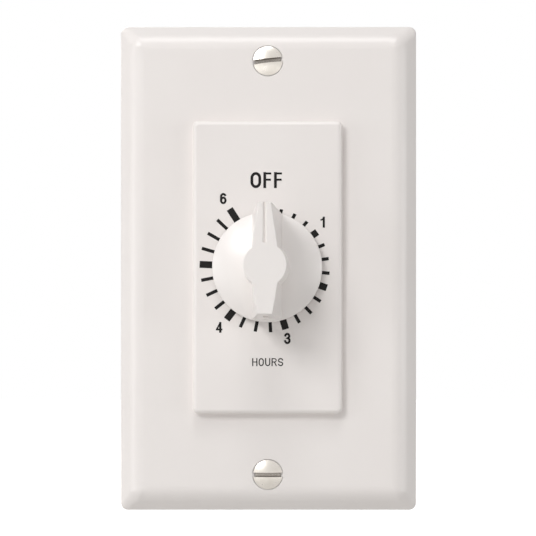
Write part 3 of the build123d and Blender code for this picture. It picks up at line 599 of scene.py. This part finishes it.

# %% [markdown]
# ## A piece from a mesh
#
# Everything added below is a mesh that rides on a body of the model. One helper links it, gives
# it its finish, and says which body it moves with.

# %% Piece helper


def piece(name, mesh, body, finish, smooth=True):
    """Links a mesh as a named piece of the object, on a body and with a finish."""
    made = bpy.data.objects.new(name, mesh)
    bpy.context.scene.collection.objects.link(made)
    mesh.materials.clear()
    mesh.materials.append(finish)
    for face in mesh.polygons:
        face.use_smooth = smooth
    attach(made, body)
    return made


print("piece helper ready")

# %% [markdown]
# ## The dial's scale
#
# The scale is a ring of 24 lines, one every 13.63 degrees from off, and every fourth is thick.
# The lines grow outwards clockwise, because they end on a slow spiral. Their inner ends lie under
# the knob's skirt. Each line is a thin raised slab, as a film of ink is.

# %% Scale lines
dial_face = -8.0
ink_thick = 0.03
tick_step = 13.63
tick_inner = 12.3
tick_count = 24
tick_reach = 13.8
tick_growth = 0.0073
thin_half = 0.385
thick_half = 0.8
thick_every = 4


def slab_on_dial(mesh, corners):
    """Adds a thin slab of ink to a mesh, from its corners (x, z) in millimetres, clockwise or not."""
    rings = []
    for depth in (dial_face - ink_thick, dial_face + ink_thick):
        rings.append([mesh.verts.new((x * MM, depth * MM, z * MM)) for x, z in corners])
    mesh.faces.new(rings[0])
    mesh.faces.new(rings[1][::-1])
    for number in range(len(corners)):
        after = (number + 1) % len(corners)
        mesh.faces.new((rings[0][number], rings[1][number], rings[1][after], rings[0][after]))


ticks = bmesh.new()
for number in range(1, tick_count + 1):
    turn = number * tick_step
    half = thick_half if number % thick_every == 0 else thin_half
    outer = tick_reach + tick_growth * turn
    out = Vector((sin(radians(turn)), cos(radians(turn))))
    side = Vector((out.y, -out.x)) * half
    ends = [out * tick_inner - side, out * outer - side, out * outer + side, out * tick_inner + side]
    slab_on_dial(ticks, [tuple(end) for end in ends])
bmesh.ops.recalc_face_normals(ticks, faces=ticks.faces)
tick_mesh = bpy.data.meshes.new("dial_scale")
ticks.to_mesh(tick_mesh)
ticks.free()
piece("dial_scale", tick_mesh, "base", dial_ink, smooth=False)
print("scale lines:", tick_count)

# %% [markdown]
# ## Numbers and words on the dial
#
# The type is narrow and even, without serifs, so each figure is drawn as a pen would draw it:
# strokes of steady width along lines and arcs. A figure is laid out in a box one unit wide and
# high and then stretched to its size on the dial. Bars are thinner than stems, which the second
# value of a stroke says.

# %% Pen strokes of the figures


def arc(centre, radii, start, end, steps=12):
    """Points along part of an ellipse, from one angle in degrees to another."""
    points = []
    for number in range(steps + 1):
        angle = radians(start + (end - start) * number / steps)
        points.append((centre[0] + radii[0] * cos(angle), centre[1] + radii[1] * sin(angle)))
    return points


round_o = arc((0.5, 0.66), (0.5, 0.34), 0, 180) + arc((0.5, 0.34), (0.5, 0.34), 180, 360)
pen_strokes = {
    "O": [(round_o, 1.0, True)],
    "F": [
        ([(0, 0), (0, 1)], 1.0, False),
        ([(0, 1), (1, 1)], 0.72, False),
        ([(0, 0.53), (0.94, 0.53)], 0.72, False),
    ],
    "H": [
        ([(0, 0), (0, 1)], 1.0, False),
        ([(1, 0), (1, 1)], 1.0, False),
        ([(0, 0.52), (1, 0.52)], 0.8, False),
    ],
    "U": [([(0, 1), *arc((0.5, 0.32), (0.5, 0.32), 180, 360), (1, 1)], 1.0, False)],
    "R": [
        ([(0, 0), (0, 1)], 1.0, False),
        ([(0, 1), *arc((0.55, 0.76), (0.45, 0.24), 90, -90), (0, 0.52)], 0.85, False),
        ([(0.6, 0.5), (1, 0)], 1.0, False),
    ],
    "S": [
        (arc((0.5, 0.75), (0.5, 0.25), 15, 270) + arc((0.5, 0.25), (0.5, 0.25), 90, -165)[1:], 1.0, False),
    ],
    "1": [([(1, 0), (1, 1)], 1.0, False), ([(0, 0.76), (0.5, 0.81), (1, 0.98)], 0.7, False)],
    "3": [
        (arc((0.48, 0.76), (0.44, 0.24), 165, -80) + arc((0.5, 0.27), (0.5, 0.27), 80, -165)[1:], 0.95, False),
    ],
    "4": [
        ([(0.74, 0), (0.74, 1)], 1.0, False),
        ([(0.7, 1), (0, 0.27)], 0.7, False),
        ([(0, 0.25), (1, 0.25)], 0.75, False),
    ],
    "6": [
        (arc((0.5, 0.3), (0.5, 0.3), 0, 360, 24), 0.95, True),
        ([*arc((0.5, 0.7), (0.5, 0.3), 38, 180), (0, 0.3)], 0.95, False),
    ],
}
print("figures drawn:", len(pen_strokes))

# %% Ink a stroke
stroke_lift = 0.003


def ink_stroke(mesh, points, width, closed, lift):
    """Adds a ribbon of ink to a mesh, along points (x, z) in millimetres, raised by lift."""
    if closed and (Vector(points[0]) - Vector(points[-1])).length < 0.01:
        points = points[:-1]
    count = len(points)
    rows = []
    for number in range(count):
        here = Vector(points[number])
        before = Vector(points[number - 1]) if closed or number > 0 else here
        after = Vector(points[(number + 1) % count]) if closed or number < count - 1 else here
        runs = [run.normalized() for run in (here - before, after - here) if run.length > 1e-6]
        along = sum(runs, Vector((0, 0))).normalized()
        across = Vector((-along.y, along.x))
        spread = width / 2 / max(0.5, across.dot(Vector((-runs[0].y, runs[0].x))))
        if not closed and number in (0, count - 1):
            here = here + along * (width / 2 if number else -width / 2)
        row = []
        for side in (-1, 1):
            x, z = here + across * spread * side
            for depth in (dial_face - ink_thick - lift, dial_face + ink_thick):
                row.append(mesh.verts.new((x * MM, depth * MM, z * MM)))
        rows.append(row)
    for number in range(count if closed else count - 1):
        low_front, low_back, high_front, high_back = rows[number]
        next_low_front, next_low_back, next_high_front, next_high_back = rows[(number + 1) % count]
        mesh.faces.new((low_front, next_low_front, next_high_front, high_front))
        mesh.faces.new((low_back, high_back, next_high_back, next_low_back))
        mesh.faces.new((low_front, low_back, next_low_back, next_low_front))
        mesh.faces.new((high_front, next_high_front, next_high_back, high_back))
    if not closed:
        for low_front, low_back, high_front, high_back in (rows[0], rows[-1]):
            mesh.faces.new((low_front, high_front, high_back, low_back))


def print_word(name, word, lefts, bottom, widths, height, pen):
    """Prints a word from each letter's left edge and width, one lower edge, a height and a pen's width."""
    mesh = bmesh.new()
    for figure, left, width in zip(word, lefts, widths):
        for number, (points, weight, closed) in enumerate(pen_strokes[figure]):
            half = pen / 2
            drawn = []
            for x, z in points:
                drawn.append((left + half + x * (width - pen), bottom + half + z * (height - pen)))
            ink_stroke(mesh, drawn, pen * weight, closed, stroke_lift * number)
    bmesh.ops.recalc_face_normals(mesh, faces=mesh.faces)
    made = bpy.data.meshes.new(name)
    mesh.to_mesh(made)
    mesh.free()
    return piece(name, made, "base", dial_ink, smooth=False)


print_word("dial_word_off", "OFF", (-3.95, -0.95, 1.53), 18.45, (2.48, 1.92, 1.92), 3.72, 0.64)
print_word("dial_number_1", "1", (12.25,), 9.25, (1.1,), 2.55, 0.5)
print_word("dial_number_3", "3", (3.85,), -17.85, (1.55,), 2.65, 0.52)
print_word("dial_number_4", "4", (-12.05,), -15.2, (1.62,), 2.5, 0.52)
print_word("dial_number_6", "6", (-11.05,), 14.7, (1.55,), 2.62, 0.52)
hours_lefts = (-3.55, -2.05, -0.55, 0.95, 2.45)
print_word("dial_word_hours", "HOURS", hours_lefts, -22.95, (1.2,) * 5, 1.85, 0.25)
print("words and numbers on the dial:", 6)

# %% [markdown]
# ## Threads
#
# The model's screws are plain cylinders at their outer radius, so the threads are cut here. Each
# solid is cut off below its head, and a shank with a helical groove takes the cylinder's place.
# The groove has the standard 60 degree form: an eighth of the pitch is crest, an eighth is root,
# and the flanks between them are straight. The groove runs out towards the head, and the point is
# chamfered so that it finds its hole.

# %% Thread cutter
thread_form = [(0.0, 0.0), (0.125, 0.0), (0.5, 1.0), (0.625, 1.0)]
steps_per_turn = 28
groove_share = 0.6
weld_distance = 1e-7
crease_angle = 32


def thread_shank(mesh, start, end, radius, pitch, point):
    """Adds a threaded shank to a mesh, from a start to an end given in metres; the sizes are in millimetres."""
    along = (end - start).normalized()
    across = along.orthogonal().normalized()
    other = along.cross(across)
    length = (end - start).length / MM
    depth = groove_share * pitch
    rows = []
    for turn in range(-1, int(length / pitch) + 2):
        for share, sunk in thread_form:
            row = []
            for step in range(steps_per_turn + 1):
                reach = min(max((turn + share + step / steps_per_turn) * pitch, 0.0), length)
                run_out = min(1.0, reach / pitch)
                out = min(radius - depth * sunk * run_out, radius - point + length - reach)
                angle = 2 * pi * step / steps_per_turn
                side = across * cos(angle) + other * sin(angle)
                row.append(mesh.verts.new(start + along * reach * MM + side * out * MM))
            rows.append(row)
    made = [vert for row in rows for vert in row]
    for low, high in zip(rows, rows[1:]):
        for step in range(steps_per_turn):
            mesh.faces.new((low[step], low[step + 1], high[step + 1], high[step]))
    bmesh.ops.remove_doubles(mesh, verts=made, dist=weld_distance)


def thread_screws(name, node, shanks, radius, pitch, point, finish):
    """Replaces a solid of screws by one mesh with the same heads and threaded shanks.

    Each shank is a start and an end in millimetres.
    """
    mesh = bmesh.new()
    mesh.from_mesh(nodes[node].data)
    bmesh.ops.remove_doubles(mesh, verts=mesh.verts, dist=weld_distance)
    ends = [(Vector(start) * MM, Vector(end) * MM) for start, end in shanks]
    cut_at, cut_to = ends[0]
    whole = [*mesh.verts, *mesh.edges, *mesh.faces]
    down = cut_to - cut_at
    bmesh.ops.bisect_plane(mesh, geom=whole, plane_co=cut_at, plane_no=down, clear_outer=True)
    for start, end in ends:
        thread_shank(mesh, start, end, radius, pitch, point)
    bmesh.ops.holes_fill(mesh, edges=[edge for edge in mesh.edges if edge.is_boundary])
    bmesh.ops.recalc_face_normals(mesh, faces=mesh.faces)
    made = bpy.data.meshes.new(name)
    mesh.to_mesh(made)
    mesh.free()
    if "custom_normal" in made.attributes:
        made.attributes.remove(made.attributes["custom_normal"])
    screws = piece(name, made, "base", finish)
    made.set_sharp_from_angle(angle=radians(crease_angle))
    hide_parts(node)
    print(name, "faces:", len(made.polygons))


# Sizes of the screws, in millimetres: radius, chamfer of the point, and where each shank starts and ends
fine_pitch = 25.4 / 32
rear_pitch = 25.4 / 40
box_screw_radius = 1.7
box_screw_z = 41.67
box_screw_start = 0.8
box_screw_end = 28.8
plate_screw_radius = 1.7
plate_screw_z = 48.42
plate_screw_start = -3.8
plate_screw_end = 6.4
long_point = 0.8
earth_screw_radius = 1.9
earth_head_height = 2.2
terminal_screw_radius = 1.8
terminal_head_radius = 3.6
terminal_head_height = 2.3
short_point = 0.6
rear_screw_radius = 1.25
rear_head_radius = 2.7
rear_head_height = 2.2
rear_point = 0.5

box_shanks = [((0, box_screw_start, z), (0, box_screw_end, z)) for z in (box_screw_z, -box_screw_z)]
thread_screws(
    "threaded_box_screws", "box_screws", box_shanks, box_screw_radius, fine_pitch, long_point, zinc_steel
)
plate_shanks = [((0, plate_screw_start, z), (0, plate_screw_end, z)) for z in (plate_screw_z, -plate_screw_z)]
thread_screws(
    "threaded_plate_screws",
    "wall_plate_screws",
    plate_shanks,
    plate_screw_radius,
    fine_pitch,
    long_point,
    nickel,
)
low, high = [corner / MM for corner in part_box("earth_screw")]
earth_y, earth_z = (low.y + high.y) / 2, (low.z + high.z) / 2
earth_shank = ((high.x - earth_head_height, earth_y, earth_z), (low.x, earth_y, earth_z))
thread_screws(
    "threaded_earth_screw",
    "earth_screw",
    [earth_shank],
    earth_screw_radius,
    fine_pitch,
    short_point,
    green_steel,
)
low, high = [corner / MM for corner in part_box("terminal_screws")]
terminal_y = (low.y + high.y) / 2
terminal_shanks = []
for z in (low.z + terminal_head_radius, high.z - terminal_head_radius):
    terminal_shanks.append(((low.x + terminal_head_height, terminal_y, z), (high.x, terminal_y, z)))
thread_screws(
    "threaded_terminal_screws",
    "terminal_screws",
    terminal_shanks,
    terminal_screw_radius,
    fine_pitch,
    short_point,
    brass,
)
low, high = [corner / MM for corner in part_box("rear_screws")]
rear_shanks = []
for x in (low.x + rear_head_radius, high.x - rear_head_radius):
    for z in (low.z + rear_head_radius, high.z - rear_head_radius):
        rear_shanks.append(((x, high.y - rear_head_height, z), (x, low.y, z)))
thread_screws(
    "threaded_rear_screws",
    "rear_screws",
    rear_shanks,
    rear_screw_radius,
    rear_pitch,
    rear_point,
    zinc_steel,
)

# %% [markdown]
# ## The studio
#
# A wall switch is shown floating before white paper. The floor lies well below it, so that its
# shadow falls out of the picture but is there from above. Floor and sky look white to the camera
# and in reflections, while the sky that lights the switch is a dim grey. A key lamp at the upper
# left casts the soft shadow of the knob. Lamps at the left, top and right rake across the bevels,
# and one behind lights the back.

# %% Floor, sky and lamps
floor_low = -160.0
floor_half = 3000.0
sky_light = 0.16
glow_near = 0.3
glow_starts = 0.25
glow_full = 0.8
floor_build = bmesh.new()
corners = [(-1, -1), (1, -1), (1, 1), (-1, 1)]
floor_build.faces.new(
    [floor_build.verts.new((x * floor_half * MM, y * floor_half * MM, floor_low * MM)) for x, y in corners]
)
floor_mesh = bpy.data.meshes.new("studio_floor")
floor_build.to_mesh(floor_mesh)
floor_build.free()
studio_floor = bpy.data.objects.new("studio_floor", floor_mesh)
bpy.context.scene.collection.objects.link(studio_floor)

floor_paper, tree = finish_called("white_studio_paper")
seen = add(tree, "ShaderNodeLightPath", {})
place = add(tree, "ShaderNodeTexCoord", {})
reach = add(tree, "ShaderNodeVectorMath", {"operation": "LENGTH", "Vector": place.outputs["Object"]})
lift = add(
    tree,
    "ShaderNodeMapRange",
    {
        "Value": reach.outputs["Value"],
        "From Min": glow_starts,
        "From Max": glow_full,
        "To Min": glow_near,
        "To Max": 1.0,
    },
)
watched = add(
    tree,
    "ShaderNodeMath",
    {
        "operation": "MAXIMUM",
        "Value": seen.outputs["Is Camera Ray"],
        "Value_001": seen.outputs["Is Glossy Ray"],
    },
)
to_camera = add(
    tree,
    "ShaderNodeMath",
    {"operation": "MULTIPLY", "Value": watched.outputs[0], "Value_001": lift.outputs[0]},
)
paper = add(tree, "ShaderNodeBsdfDiffuse", {"Color": linear("#E4E3E1")})
glow = add(tree, "ShaderNodeEmission", {"Strength": to_camera.outputs[0], "Color": (1.0, 1.0, 1.0, 1.0)})
both = add(tree, "ShaderNodeAddShader", {"Shader": paper.outputs[0], "Shader_001": glow.outputs[0]})
add(tree, "ShaderNodeOutputMaterial", {"Surface": both.outputs[0]})
floor_mesh.materials.append(floor_paper)

sky = bpy.data.worlds.new("studio_sky")
sky.use_nodes = True
tree = sky.node_tree
tree.nodes.clear()
seen = add(tree, "ShaderNodeLightPath", {})
shiny = add(
    tree,
    "ShaderNodeMath",
    {
        "operation": "MAXIMUM",
        "Value": seen.outputs["Is Camera Ray"],
        "Value_001": seen.outputs["Is Glossy Ray"],
    },
)
white_to = add(
    tree,
    "ShaderNodeMath",
    {"operation": "MAXIMUM", "Value": shiny.outputs[0], "Value_001": seen.outputs["Is Transmission Ray"]},
)
level = add(tree, "ShaderNodeMapRange", {"Value": white_to.outputs[0], "To Min": sky_light, "To Max": 1.0})
air = add(tree, "ShaderNodeBackground", {"Color": (1.0, 1.0, 1.0, 1.0), "Strength": level.outputs[0]})
add(tree, "ShaderNodeOutputWorld", {"Surface": air.outputs[0]})
bpy.context.scene.world = sky


def soft_lamp(name, place, width, power):
    """A square area lamp that faces the switch."""
    light = bpy.data.lights.new(name, "AREA")
    light.size = width
    light.energy = power
    lamp = bpy.data.objects.new(name, light)
    lamp.location = place
    lamp.rotation_euler = (-Vector(place)).to_track_quat("-Z", "Y").to_euler()
    bpy.context.scene.collection.objects.link(lamp)


soft_lamp("key_lamp", (-0.8, -1.15, 0.85), 0.6, 12.4)
soft_lamp("left_strip", (-1.3, -0.5, 0.05), 0.45, 2.4)
soft_lamp("top_strip", (-0.05, -0.6, 1.3), 0.45, 5.8)
soft_lamp("right_strip", (1.45, -0.45, 0.0), 0.6, 5.2)
soft_lamp("back_fill", (-0.5, 1.3, 0.7), 1.0, 8.0)
bpy.context.scene.view_settings.view_transform = "Standard"
print("lamps:", len(bpy.data.lights))
